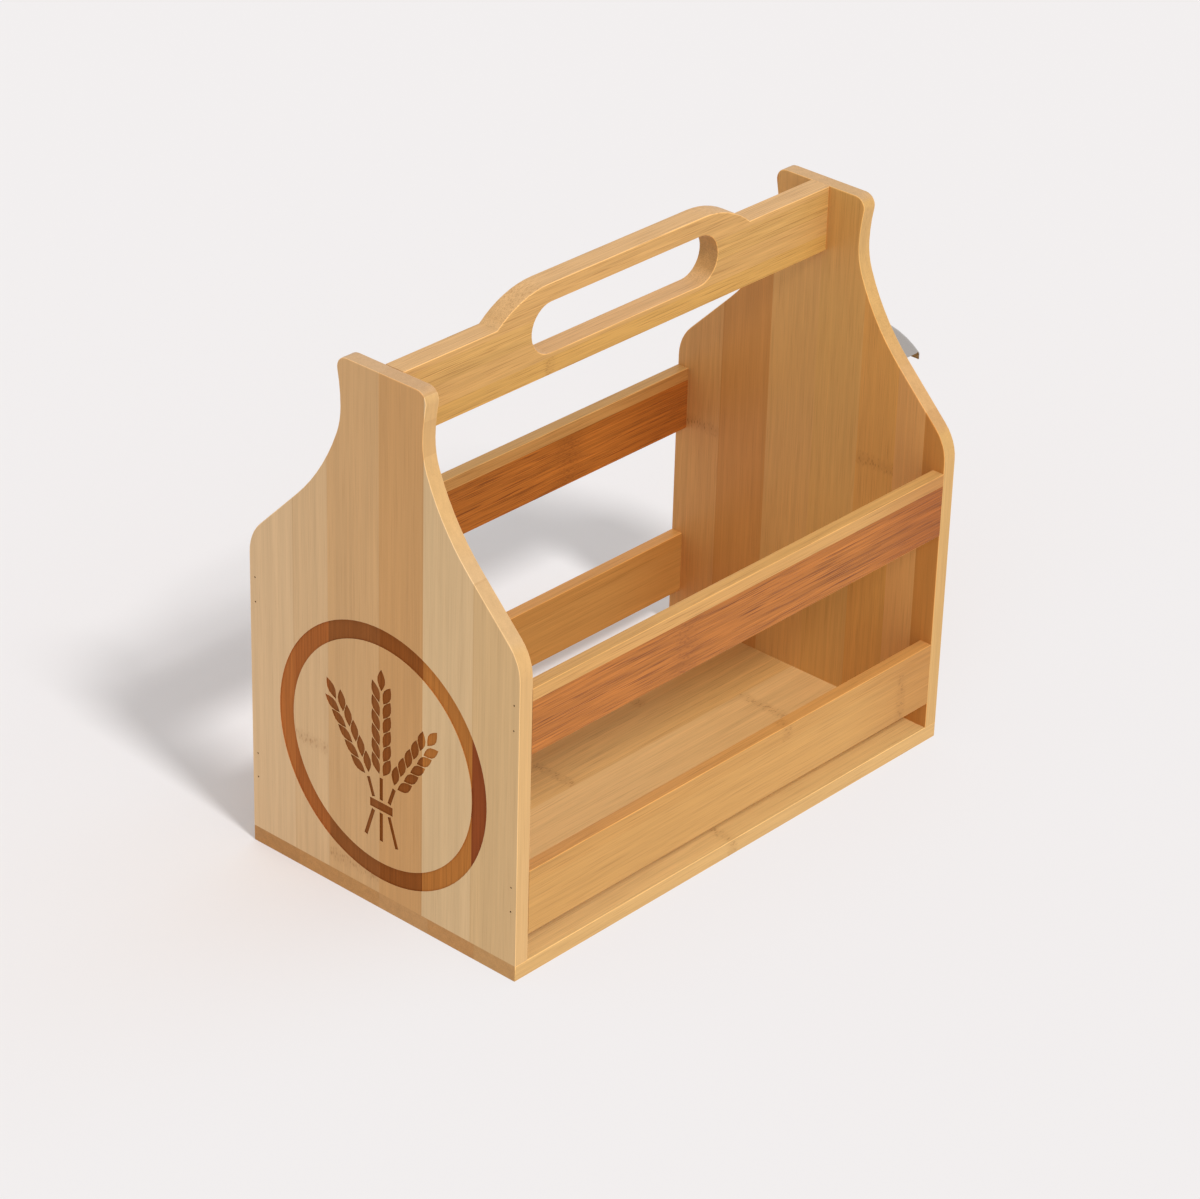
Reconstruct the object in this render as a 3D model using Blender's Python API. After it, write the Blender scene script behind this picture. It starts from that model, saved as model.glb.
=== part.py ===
# Six-bottle carrier of laminated bamboo: a base board, two end panels cut to a
# bottle's outline, two slats along each side, a handle board down the middle and
# a steel bottle opener on one end.
#
# Metres, +Z up. The origin is the centre of the base board's underside. X runs
# along the carrier, towards the end with the opener, and Y across it.

import math

import bmesh
import bpy
from mathutils import Vector

# Overall length and width
CRATE_LENGTH = 0.260
CRATE_WIDTH = 0.146

# Boards, stacked from the base board up to the end panels' shoulders
BASE_THICKNESS = 0.007
PANEL_THICKNESS = 0.007
SLAT_THICKNESS = 0.006
LOWER_SLAT_RISE = 0.0118
SLAT_HEIGHT = 0.0288
SLAT_WINDOW = 0.0518
SHOULDER_RISE = 0.0046

# Gap left in every joint, and how far a cut runs past the face that it opens
JOINT_GAP = 0.0003
CUT_OVERRUN = 0.002

# End panel's outline: round shoulder, straight slope, long hollow neck, tighter
# throat under the waist, and a slight flare above it
SHOULDER_RADIUS = 0.0206
SLOPE_LEAN = math.radians(44.9)
NECK_RADIUS = 0.0995
THROAT_RADIUS = 0.0337
THROAT_LEAN = math.radians(21.3)
WAIST_WIDTH = 0.0434
WAIST_DROP = 0.021
FLARE_RADIUS = 0.0729
PANEL_CORNER = 0.005

# Handle board, its hump and its finger slot
HANDLE_THICKNESS = 0.010
HANDLE_HEIGHT = 0.0285
HUMP_RISE = 0.0105
HUMP_LENGTH = 0.146
HUMP_RADIUS = 0.044
SLOT_LENGTH = 0.1077
SLOT_RISE = 0.0094
GRIP_BAR = 0.008

# Rounded edges
PANEL_EDGE = 0.0004
BASE_EDGE = 0.0004
SLAT_EDGE = 0.0004
HANDLE_EDGE = 0.0005

# Pin nails through the end panels into the slats
NAIL_RADIUS = 0.0004
NAIL_LENGTH = 0.020
NAIL_POINT = 0.0012
NAIL_SPREAD = 0.011
NAIL_RISE = 0.0033
HEAD_SET = 0.0003

# Dowels between the handle board and the end panels
DOWEL_RADIUS = 0.0025
DOWEL_CHAMFER = 0.0006
DOWEL_COVER = 0.003
DOWEL_IN_HANDLE = 0.010
DOWEL_SPREAD = 0.0145

# Countersunk screws up through the base board
BASE_SCREW_RADIUS = 0.0013
BASE_SCREW_LENGTH = 0.020
BASE_SCREW_POINT = 0.003
BASE_SCREW_HEAD_RADIUS = 0.0028
BASE_SCREW_HEAD = 0.0018
BASE_SCREW_INSET = 0.023

# Bottle opener: back plate with a screw tab
OPENER_DROP = 0.0325
OPENER_WALL = 0.002
PLATE_HEIGHT = 0.0535
PLATE_MARGIN = 0.001
PLATE_CORNER = 0.005
PLATE_EDGE = 0.0007
TAB_WIDTH = 0.036
TAB_HEIGHT = 0.017
TAB_CORNER = 0.008

# Bottle opener: hood that widens down to its nose, and the lip below the nose
HOOD_DROP = 0.023
HOOD_HEIGHT = 0.0245
HOOD_DEPTH = 0.031
HOOD_BULGE = 0.0035
HOOD_TOP_WIDTH = 0.042
HOOD_NOSE_WIDTH = 0.058
HOOD_CORNER = 0.003
LIP_DROP = 0.0024
CHEEK_LIFT = 0.001

# Bottle opener: tongue that hooks under the edge of a bottle's cap
CATCH_RISE = 0.009
CATCH_WIDTH = 0.022
CATCH_REACH = 0.010
CATCH_THICKNESS = 0.0024
CATCH_CORNER = 0.004
CATCH_LIFT = 0.002

# Dome-headed screws that hold the opener
OPENER_SCREW_RADIUS = 0.001
OPENER_SCREW_POINT = 0.002
OPENER_SCREW_COVER = 0.0015
OPENER_SCREW_HEAD_RADIUS = 0.003
OPENER_SCREW_HEAD = 0.0018
OPENER_SCREW_SPACING = 0.018
OPENER_SCREW_DROP = 0.008

# Cross recess, as shares of the screw head's radius
RECESS_REACH_SHARE = 0.62
RECESS_WIDTH_SHARE = 0.3
RECESS_DEPTH_SHARE = 0.38

# Burnt mark: a ring round a sheaf of three barley ears
MARK_DEPTH = 0.0004
MARK_HEIGHT = 0.0705
RING_RADIUS = 0.0567
RING_WIDTH = 0.0078
SHEAF_MARGIN = 0.010
EAR_LEAN = math.radians(33)
EAR_PAIRS = 6
GRAIN_LEAN = math.radians(24)

# The sheaf's details, as shares of its height
SHEAF_SHARES = {
    "tie_rise": 0.205,
    "tie_width": 0.16,
    "tie_depth": 0.05,
    "gap": 0.013,
    "stalk_width": 0.023,
    "stalk_spacing": 0.055,
    "grain_length": 0.124,
    "grain_width": 0.056,
    "grain_step": 0.083,
    "grain_offset": 0.039,
}

# Steps along curves, and the angle from which an edge stays sharp
CURVE_ERROR = 0.00005
EDGE_STEPS = 2
GRIP_STEPS = 3
PIN_SIDES = 12
SCREW_SIDES = 16
RING_SIDES = 96
GRAIN_STEPS = 5
HOOD_STEPS = 6
SHARP_ANGLE = math.radians(48)
PARALLEL_SHARE = 0.999
WELD_DISTANCE = 0.00001

# Heights and places worked out from the sizes above
PANEL_BOTTOM = BASE_THICKNESS + JOINT_GAP
LOWER_SLAT = BASE_THICKNESS + LOWER_SLAT_RISE
UPPER_SLAT = LOWER_SLAT + SLAT_HEIGHT + SLAT_WINDOW
SHOULDER_HEIGHT = UPPER_SLAT + SLAT_HEIGHT + SHOULDER_RISE
SHOULDER_SPAN = SHOULDER_RADIUS * (1 - math.cos(SLOPE_LEAN))
NECK_SPAN = NECK_RADIUS * (math.cos(THROAT_LEAN) - math.cos(SLOPE_LEAN))
THROAT_SPAN = THROAT_RADIUS * (1 - math.cos(THROAT_LEAN))
CURVE_SPAN = SHOULDER_SPAN + NECK_SPAN + THROAT_SPAN
SLOPE_LENGTH = ((CRATE_WIDTH - WAIST_WIDTH) / 2 - CURVE_SPAN) / math.sin(SLOPE_LEAN)
SLOPE_TOP = SHOULDER_HEIGHT + SHOULDER_RADIUS * math.sin(SLOPE_LEAN)
SLOPE_TOP += SLOPE_LENGTH * math.cos(SLOPE_LEAN)
NECK_TOP = SLOPE_TOP + NECK_RADIUS * (math.sin(SLOPE_LEAN) - math.sin(THROAT_LEAN))
WAIST_HEIGHT = NECK_TOP + THROAT_RADIUS * math.sin(THROAT_LEAN)
PANEL_TOP = WAIST_HEIGHT + WAIST_DROP
PANEL_OUTSIDE = CRATE_LENGTH / 2
PANEL_CENTRE = PANEL_OUTSIDE - PANEL_THICKNESS / 2
PANEL_INSIDE = PANEL_OUTSIDE - PANEL_THICKNESS
BOARD_END = PANEL_INSIDE - JOINT_GAP
SLAT_CENTRE = (CRATE_WIDTH - SLAT_THICKNESS) / 2
HANDLE_BOTTOM = PANEL_TOP - HANDLE_HEIGHT
HUMP_TOP = PANEL_TOP + HUMP_RISE
SLOT_BOTTOM = HANDLE_BOTTOM + SLOT_RISE
SLOT_RADIUS = (HUMP_TOP - GRIP_BAR - SLOT_BOTTOM) / 2
DOWEL_MIDDLE = PANEL_TOP - HANDLE_HEIGHT / 2
DOWEL_IN_PANEL = PANEL_THICKNESS - DOWEL_COVER
BASE_SCREW_REACH = CRATE_WIDTH / 2 - BASE_SCREW_INSET
OPENER_BACK = PANEL_OUTSIDE + JOINT_GAP
OPENER_FRONT = OPENER_BACK + OPENER_WALL
OPENER_SCREW_DEPTH = PANEL_THICKNESS - OPENER_SCREW_COVER
PLATE_TOP = PANEL_TOP - OPENER_DROP
PLATE_BOTTOM = PLATE_TOP - PLATE_HEIGHT
OPENER_SCREW_HEIGHT = PLATE_TOP - OPENER_SCREW_DROP
HOOD_TOP = PLATE_TOP - HOOD_DROP
HOOD_NOSE = HOOD_TOP - HOOD_HEIGHT
HOOD_LIP = HOOD_NOSE - LIP_DROP
CATCH_BOTTOM = PLATE_BOTTOM + CATCH_RISE
RING_INSIDE = RING_RADIUS - RING_WIDTH
SHEAF_HEIGHT = 2 * (RING_INSIDE - SHEAF_MARGIN)
SHEAF_FOOT = MARK_HEIGHT - SHEAF_HEIGHT / 2
SHEAF = {name: SHEAF_HEIGHT * share for name, share in SHEAF_SHARES.items()}
TIE_HEIGHT = SHEAF_FOOT + SHEAF["tie_rise"]

SLAT_ROWS = {"lower": LOWER_SLAT, "upper": UPPER_SLAT}
SIDES = {"front": -1, "back": 1}
ENDS = {"left": -1, "right": 1}


# Materials

def finish(name, colour, roughness, metallic=0):
    """Principled surface of one colour."""
    surface = bpy.data.materials.get(name) or bpy.data.materials.new(name)
    surface.use_nodes = True
    shader = surface.node_tree.nodes["Principled BSDF"]
    shader.inputs["Base Color"].default_value = (*colour, 1)
    shader.inputs["Roughness"].default_value = roughness
    shader.inputs["Metallic"].default_value = metallic
    return surface


def pale_bamboo():
    return finish("pale_bamboo", (0.58, 0.38, 0.19), 0.5)


def golden_bamboo():
    return finish("golden_bamboo", (0.66, 0.38, 0.14), 0.45)


def brown_bamboo():
    return finish("brown_bamboo", (0.44, 0.17, 0.06), 0.45)


def beech():
    return finish("beech", (0.62, 0.42, 0.25), 0.6)


def pin_steel():
    return finish("pin_steel", (0.35, 0.33, 0.31), 0.45, 1)


def satin_steel():
    return finish("satin_steel", (0.60, 0.59, 0.58), 0.3, 1)


# Outlines, as lists of points in a plane

def arc(centre, radius, start, end, steps=None):
    """Points along an arc, with both its ends."""
    if steps is None:
        widest = 2 * math.acos(max(0, 1 - CURVE_ERROR / radius))
        steps = max(2, math.ceil(abs(end - start) / widest))
    turns = [start + (end - start) * i / steps for i in range(steps + 1)]
    return [
        (centre[0] + radius * math.cos(turn), centre[1] + radius * math.sin(turn))
        for turn in turns
    ]


def circle(centre, radius, sides):
    return arc(centre, radius, 0, 2 * math.pi, sides)[:-1]


def rectangle(low, high):
    return [low, (high[0], low[1]), high, (low[0], high[1])]


def mirrored(half):
    """Closed outline from its right-hand half, listed from bottom to top."""
    return half + [(-u, v) for u, v in reversed(half)]


def leaned(points, foot, lean):
    """Points drawn upright on 0, 0, leaned to the right and moved to a foot."""
    return [
        (
            foot[0] + u * math.cos(lean) + v * math.sin(lean),
            foot[1] - u * math.sin(lean) + v * math.cos(lean),
        )
        for u, v in points
    ]


def stroke(start, end, width):
    """Straight stroke of the given width from start to end."""
    run = Vector(end) - Vector(start)
    upright = rectangle((-width / 2, 0), (width / 2, run.length))
    return leaned(upright, start, math.atan2(run.x, run.y))


# Solids, as bmeshes

def at(axis, u, v, w):
    """Point at u, v in the plane across the axis, and at w along the axis."""
    if axis == "X":
        return Vector((w, u, v))
    if axis == "Y":
        return Vector((u, w, v))
    return Vector((u, v, w))


def lofted(axis, rings, closed=False):
    """Solid through outlines of equal point counts, each at its own w."""
    mesh = bmesh.new()
    loops = [[mesh.verts.new(at(axis, u, v, w)) for u, v in ring] for ring, w in rings]
    pairs = list(zip(loops, loops[1:]))
    if closed:
        pairs.append((loops[-1], loops[0]))
    else:
        mesh.faces.new(loops[0])
        mesh.faces.new(loops[-1])
    for low, high in pairs:
        for i in range(len(low)):
            mesh.faces.new((low[i - 1], low[i], high[i], high[i - 1]))
    bmesh.ops.recalc_face_normals(mesh, faces=mesh.faces)
    return mesh


def extruded(outline, axis, start, end):
    return lofted(axis, [(outline, start), (outline, end)])


def turned(profile, sides):
    """Solid turned round Z from (radius, height) points that start and end on Z."""
    mesh = bmesh.new()
    line = [mesh.verts.new((radius, 0, height)) for radius, height in profile]
    edges = [mesh.edges.new(pair) for pair in zip(line, line[1:])]
    bmesh.ops.spin(
        mesh, geom=line + edges, cent=(0, 0, 0), axis=(0, 0, 1),
        angle=2 * math.pi, steps=sides, use_merge=True,
    )
    bmesh.ops.remove_doubles(mesh, verts=mesh.verts, dist=WELD_DISTANCE)
    bmesh.ops.recalc_face_normals(mesh, faces=mesh.faces)
    return mesh


def joined(solids):
    """One bmesh that holds several solids."""
    whole = bmesh.new()
    for solid in solids:
        data = as_data("solid", solid)
        whole.from_mesh(data)
        bpy.data.meshes.remove(data)
    return whole


def runs_along(edge, axis):
    run = (edge.verts[1].co - edge.verts[0].co).normalized()
    return abs(run.dot(at(axis, 0, 0, 1))) > PARALLEL_SHARE


def middle(edge):
    return (edge.verts[0].co + edge.verts[1].co) / 2


def round_edges(mesh, radius, steps, wanted):
    """Round each sharp edge for which wanted is true."""
    sharp = [
        edge for edge in mesh.edges
        if edge.calc_face_angle(0) > SHARP_ANGLE and wanted(edge)
    ]
    bmesh.ops.bevel(
        mesh, geom=sharp, offset=radius, offset_type="OFFSET", segments=steps,
        profile=0.5, affect="EDGES", clamp_overlap=True, material=-1,
    )


# Mesh data and objects

def as_data(name, mesh):
    data = bpy.data.meshes.new(name)
    mesh.to_mesh(data)
    mesh.free()
    return data


def smooth(data, surface):
    """Mesh data with its surface, smooth but for its sharp edges."""
    data.materials.clear()
    data.materials.append(surface)
    data.shade_smooth()
    data.set_sharp_from_angle(angle=SHARP_ANGLE)
    return data


def add_object(name, data, where=(0, 0, 0), facing=(0, 0, 1)):
    """Object at a place, with its mesh's +Z turned to face a way."""
    thing = bpy.data.objects.new(name, data)
    thing.location = where
    thing.rotation_mode = "QUATERNION"
    thing.rotation_quaternion = Vector((0, 0, 1)).rotation_difference(Vector(facing))
    bpy.context.scene.collection.objects.link(thing)
    return thing


def place(name, data, where=(0, 0, 0), facing=(0, 0, 1)):
    """One piece of the carrier, shaded so that its flat faces look flat."""
    thing = add_object(name, data, where, facing)
    normals = thing.modifiers.new("even_normals", "WEIGHTED_NORMAL")
    normals.keep_sharp = True


def carved(name, mesh, steps):
    """Mesh data of a solid after a chain of booleans with other solids."""
    thing = add_object(name, as_data(name, mesh))
    guides = [thing]
    for operation, solid in steps:
        guide = add_object("guide", as_data("guide", solid))
        guide.hide_render = True
        guide.display_type = "WIRE"
        guides.append(guide)
        step = thing.modifiers.new("step", "BOOLEAN")
        step.object = guide
        step.operation = operation
        step.solver = "EXACT"
        step.use_self = True
    view = bpy.context.evaluated_depsgraph_get()
    data = bpy.data.meshes.new_from_object(thing.evaluated_get(view))
    for guide in guides:
        used = guide.data
        bpy.data.objects.remove(guide, do_unlink=True)
        bpy.data.meshes.remove(used)
    data.name = name
    return data


def cuts(*solids):
    return [("DIFFERENCE", solid) for solid in solids]


# Holes that run through more than one piece

def nail_places():
    """Name, end, side and height of each pin nail."""
    for end, along in ENDS.items():
        for side, across in SIDES.items():
            for row, bottom in SLAT_ROWS.items():
                for number, step in ((1, -1), (2, 1)):
                    name = "nail_%s_%s_%s_%d" % (end, side, row, number)
                    height = bottom + (SLAT_HEIGHT + step * NAIL_SPREAD) / 2 + NAIL_RISE
                    yield name, along, across * SLAT_CENTRE, height


def nail_holes():
    """Holes from the end panels' outer faces to just past the nails' points."""
    start = PANEL_OUTSIDE + CUT_OVERRUN
    deep = PANEL_OUTSIDE - HEAD_SET - NAIL_LENGTH - JOINT_GAP
    radius = NAIL_RADIUS + JOINT_GAP
    return joined(
        extruded(circle((y, z), radius, PIN_SIDES), "X", along * start, along * deep)
        for name, along, y, z in nail_places()
    )


def dowel_heights():
    return [DOWEL_MIDDLE - DOWEL_SPREAD / 2, DOWEL_MIDDLE + DOWEL_SPREAD / 2]


def dowel_holes():
    """Blind holes in the end panels and in the ends of the handle board."""
    outer = PANEL_INSIDE + DOWEL_IN_PANEL + JOINT_GAP
    inner = BOARD_END - DOWEL_IN_HANDLE - JOINT_GAP
    radius = DOWEL_RADIUS + JOINT_GAP
    return joined(
        extruded(circle((0, z), radius, PIN_SIDES), "X", along * inner, along * outer)
        for along in ENDS.values() for z in dowel_heights()
    )


def base_screw_places():
    """Name and place, on the underside, of each screw in the base board."""
    for end, along in ENDS.items():
        for number, across in enumerate((-1, 0, 1), 1):
            spot = (along * PANEL_CENTRE, across * BASE_SCREW_REACH, 0)
            yield "base_screw_%s_%d" % (end, number), Vector(spot)


def base_screw_holes():
    """Countersunk holes through the base board and up into the end panels."""
    wide = BASE_SCREW_HEAD_RADIUS + JOINT_GAP
    narrow = BASE_SCREW_RADIUS + JOINT_GAP
    neck = HEAD_SET + BASE_SCREW_HEAD
    deep = HEAD_SET + BASE_SCREW_LENGTH + JOINT_GAP
    profile = [
        (0, -CUT_OVERRUN), (wide, -CUT_OVERRUN), (wide, HEAD_SET),
        (narrow, neck), (narrow, deep), (0, deep),
    ]
    holes = []
    for name, spot in base_screw_places():
        hole = turned(profile, SCREW_SIDES)
        bmesh.ops.translate(hole, verts=hole.verts, vec=spot)
        holes.append(hole)
    return joined(holes)


def opener_screw_sides():
    return [-OPENER_SCREW_SPACING / 2, OPENER_SCREW_SPACING / 2]


def opener_screw_holes():
    """Holes through the opener's tab and into the far end panel."""
    deep = PANEL_OUTSIDE - OPENER_SCREW_DEPTH - JOINT_GAP
    front = OPENER_FRONT + CUT_OVERRUN
    radius = OPENER_SCREW_RADIUS + JOINT_GAP
    return joined(
        extruded(circle((y, OPENER_SCREW_HEIGHT), radius, PIN_SIDES), "X", deep, front)
        for y in opener_screw_sides()
    )


# Burnt mark

def grain():
    """Pointed barley grain, upright, with its middle at 0, 0."""
    shares = [i / GRAIN_STEPS for i in range(GRAIN_STEPS + 1)]
    half = SHEAF["grain_width"] / 2
    right = [
        (half * math.sin(math.pi * share), (share - 0.5) * SHEAF["grain_length"])
        for share in shares
    ]
    left = [(-u, v) for u, v in reversed(right[1:-1])]
    return right + left


def lowest_grain():
    """Height of an ear's lowest grains above the tie."""
    ear = (EAR_PAIRS - 1) * SHEAF["grain_step"] + SHEAF["gap"] + SHEAF["grain_length"]
    return SHEAF_HEIGHT - SHEAF["tie_rise"] - ear


def ear_grains(lean, pairs):
    """Grains of one ear of barley: pairs of them, and one at the tip."""
    half = SHEAF["grain_length"] / 2
    grains = []
    for pair in range(pairs):
        height = lowest_grain() + pair * SHEAF["grain_step"]
        for side in (-1, 1):
            spot = (side * SHEAF["grain_offset"], height)
            grains.append(leaned(grain(), spot, side * GRAIN_LEAN))
    grains.append(leaned(grain(), (0, height + half + SHEAF["gap"]), 0))
    return [leaned(points, (0, TIE_HEIGHT), lean) for points in grains]


def sheaf():
    """Outlines of three ears, their stalks and the tie that holds them."""
    half_tie = SHEAF["tie_depth"] / 2
    low = (-SHEAF["tie_width"] / 2, TIE_HEIGHT - half_tie)
    high = (SHEAF["tie_width"] / 2, TIE_HEIGHT + half_tie)
    ear_foot = lowest_grain() - SHEAF["grain_length"] / 2 - SHEAF["gap"]
    shapes = [rectangle(low, high)]
    for side in (-1, 0, 1):
        lean = side * EAR_LEAN
        spread = side * SHEAF["stalk_spacing"]
        above = (spread, high[1] + SHEAF["gap"])
        below = (spread, low[1] - SHEAF["gap"])
        neck = (ear_foot * math.sin(lean), TIE_HEIGHT + ear_foot * math.cos(lean))
        shapes += ear_grains(lean, EAR_PAIRS - abs(side))
        shapes.append(stroke(above, neck, SHEAF["stalk_width"]))
        shapes.append(stroke((2 * spread, SHEAF_FOOT), below, SHEAF["stalk_width"]))
    return shapes


def burnt_mark():
    """Solid that sinks the ring and the sheaf into the near end panel."""
    start = -PANEL_OUTSIDE - CUT_OVERRUN
    deep = -PANEL_OUTSIDE + MARK_DEPTH
    outer = circle((0, MARK_HEIGHT), RING_RADIUS, RING_SIDES)
    inner = circle((0, MARK_HEIGHT), RING_INSIDE, RING_SIDES)
    ring = lofted("X", [(outer, start), (outer, deep), (inner, deep), (inner, start)], True)
    return joined([ring] + [extruded(points, "X", start, deep) for points in sheaf()])


# Boards

def panel_outline():
    """End panel's outline: straight sides, shoulders, slopes, neck, waist and top."""
    half = CRATE_WIDTH / 2
    waist = WAIST_WIDTH / 2
    shoulder = (half - SHOULDER_RADIUS, SHOULDER_HEIGHT)
    throat = (waist + THROAT_RADIUS, WAIST_HEIGHT)
    beyond = NECK_RADIUS - THROAT_RADIUS
    neck = (
        throat[0] + beyond * math.cos(THROAT_LEAN),
        throat[1] + beyond * math.sin(THROAT_LEAN),
    )
    flare = (waist + FLARE_RADIUS, WAIST_HEIGHT)
    corner_height = PANEL_TOP - PANEL_CORNER
    rise = corner_height - WAIST_HEIGHT
    reach = math.sqrt((FLARE_RADIUS + PANEL_CORNER) ** 2 - rise ** 2)
    corner = (flare[0] - reach, corner_height)
    tilt = math.atan2(rise, reach)
    points = [(half, PANEL_BOTTOM)]
    points += arc(shoulder, SHOULDER_RADIUS, 0, SLOPE_LEAN)
    points += arc(neck, NECK_RADIUS, math.pi + SLOPE_LEAN, math.pi + THROAT_LEAN)
    points += arc(throat, THROAT_RADIUS, math.pi + THROAT_LEAN, math.pi)[1:]
    points += arc(flare, FLARE_RADIUS, math.pi, math.pi - tilt)[1:]
    points += arc(corner, PANEL_CORNER, -tilt, math.pi / 2)[1:]
    return mirrored(points)


def end_panel(end, *holes):
    name = end + "_end_panel"
    centre = ENDS[end] * PANEL_CENTRE
    half = PANEL_THICKNESS / 2
    mesh = extruded(panel_outline(), "X", centre - half, centre + half)
    round_edges(
        mesh, PANEL_EDGE, EDGE_STEPS,
        lambda edge: not runs_along(edge, "X") and middle(edge).z > PANEL_BOTTOM + PANEL_EDGE,
    )
    place(name, smooth(carved(name, mesh, cuts(*holes)), pale_bamboo()))


def base_board():
    corner = (CRATE_LENGTH / 2, CRATE_WIDTH / 2)
    outline = rectangle((-corner[0], -corner[1]), corner)
    mesh = extruded(outline, "Z", 0, BASE_THICKNESS)
    round_edges(mesh, BASE_EDGE, EDGE_STEPS, lambda edge: not runs_along(edge, "Y"))
    data = carved("base_board", mesh, cuts(base_screw_holes()))
    place("base_board", smooth(data, golden_bamboo()))


def slats():
    """Two slats along each side, nailed at both ends."""
    surfaces = {"lower": golden_bamboo(), "upper": brown_bamboo()}
    for side, across in SIDES.items():
        outer = across * CRATE_WIDTH / 2
        inner = outer - across * SLAT_THICKNESS
        for row, bottom in SLAT_ROWS.items():
            name = "%s_%s_slat" % (side, row)
            outline = rectangle((inner, bottom), (outer, bottom + SLAT_HEIGHT))
            mesh = extruded(outline, "X", -BOARD_END, BOARD_END)
            round_edges(mesh, SLAT_EDGE, EDGE_STEPS, lambda edge: runs_along(edge, "X"))
            data = carved(name, mesh, cuts(nail_holes()))
            place(name, smooth(data, surfaces[row]))


def handle_outline():
    """Square ends, flush with the panels' tops, and a low round-ended hump."""
    drop = HUMP_RADIUS - HUMP_RISE
    flat = HUMP_LENGTH / 2 - math.sqrt(HUMP_RADIUS ** 2 - drop ** 2)
    points = [(BOARD_END, HANDLE_BOTTOM), (BOARD_END, PANEL_TOP)]
    centre = (flat, HUMP_TOP - HUMP_RADIUS)
    points += arc(centre, HUMP_RADIUS, math.asin(drop / HUMP_RADIUS), math.pi / 2)
    return mirrored(points)


def slot_outline(grown, steps=None):
    """Long slot with round ends, grown by a margin all round."""
    reach = SLOT_LENGTH / 2 - SLOT_RADIUS
    centre = (reach, SLOT_BOTTOM + SLOT_RADIUS)
    half = arc(centre, SLOT_RADIUS + grown, -math.pi / 2, math.pi / 2, steps)
    return mirrored(half)


def finger_slot():
    """Slot with rounded mouths through the handle board."""
    face = HANDLE_THICKNESS / 2
    steps = len(slot_outline(0)) // 2 - 1
    mouth = []
    for i in range(GRIP_STEPS + 1):
        turn = math.pi / 2 * i / GRIP_STEPS
        grown = HANDLE_EDGE * (1 - math.cos(turn))
        depth = HANDLE_EDGE * (1 - math.sin(turn))
        mouth.append((slot_outline(grown, steps), face - depth))
    mouth.append((slot_outline(HANDLE_EDGE, steps), face + CUT_OVERRUN))
    return lofted("Y", [(outline, -w) for outline, w in reversed(mouth)] + mouth)


def handle_board():
    face = HANDLE_THICKNESS / 2
    mesh = extruded(handle_outline(), "Y", -face, face)
    round_edges(
        mesh, HANDLE_EDGE, GRIP_STEPS,
        lambda edge: not runs_along(edge, "Y") and abs(middle(edge).x) < BOARD_END,
    )
    data = carved("handle_board", mesh, cuts(finger_slot(), dowel_holes()))
    place("handle_board", smooth(data, golden_bamboo()))


# Bottle opener

def plate_outline():
    """Back plate: wide behind the hood, with a narrower tab for the screws."""
    low = HOOD_NOSE_WIDTH / 2 + PLATE_MARGIN
    high = HOOD_TOP_WIDTH / 2 + PLATE_MARGIN
    tab = TAB_WIDTH / 2
    foot = (low - PLATE_CORNER, PLATE_BOTTOM + PLATE_CORNER)
    head = (tab - TAB_CORNER, PLATE_TOP - TAB_CORNER)
    points = arc(foot, PLATE_CORNER, -math.pi / 2, 0)
    points += [(low, HOOD_NOSE), (high, HOOD_TOP), (tab, PLATE_TOP - TAB_HEIGHT)]
    points += arc(head, TAB_CORNER, 0, math.pi / 2)
    return mirrored(points)


def hood_curve(inset):
    """Centre and radius of the hood's side view, drawn in by inset."""
    chord = Vector((HOOD_DEPTH, -HOOD_HEIGHT))
    radius = (chord.length ** 2 / 4 + HOOD_BULGE ** 2) / (2 * HOOD_BULGE)
    outward = Vector((HOOD_HEIGHT, HOOD_DEPTH)).normalized()
    centre = Vector((0, HOOD_TOP)) + chord / 2 - outward * (radius - HOOD_BULGE)
    return centre, radius - inset


def hood_slice(height, inset, back):
    """Plan of the hood at a height: flat back, round front corners."""
    centre, radius = hood_curve(inset)
    curve = centre.x + math.sqrt(radius ** 2 - (height - centre.y) ** 2)
    reach = min(HOOD_DEPTH - inset, curve)
    widening = (HOOD_NOSE_WIDTH - HOOD_TOP_WIDTH) * (HOOD_TOP - max(height, HOOD_NOSE))
    half = (HOOD_TOP_WIDTH + widening / HOOD_HEIGHT) / 2 - inset
    corner = min(HOOD_CORNER - inset, reach - back)
    front = OPENER_BACK + reach - corner
    near = arc((front, half - corner), corner, math.pi / 2, 0, GRIP_STEPS)
    far = [(x, -y) for x, y in reversed(near)]
    return [(OPENER_BACK + back, half)] + near + far + [(OPENER_BACK + back, -half)]


def hood(inset, back, start, bottom):
    """Hood as a solid, from where it is as deep as start down to bottom."""
    centre, radius = hood_curve(inset)
    top = centre.y + math.sqrt(radius ** 2 - (start - centre.x) ** 2)
    heights = [top + (HOOD_NOSE - top) * i / HOOD_STEPS for i in range(HOOD_STEPS + 1)]
    heights.append(bottom)
    return lofted("Z", [(hood_slice(z, inset, back), z) for z in heights])


def cheek_notch():
    """Space under the cheeks, between the back plate and the hood's lip."""
    half = HOOD_NOSE_WIDTH / 2 + PLATE_MARGIN + CUT_OVERRUN
    inner = OPENER_BACK + HOOD_DEPTH - OPENER_WALL
    low = (OPENER_FRONT, PLATE_BOTTOM - CUT_OVERRUN)
    high = (inner, HOOD_NOSE + CHEEK_LIFT)
    return extruded(rectangle(low, high), "Y", -half, half)


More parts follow.
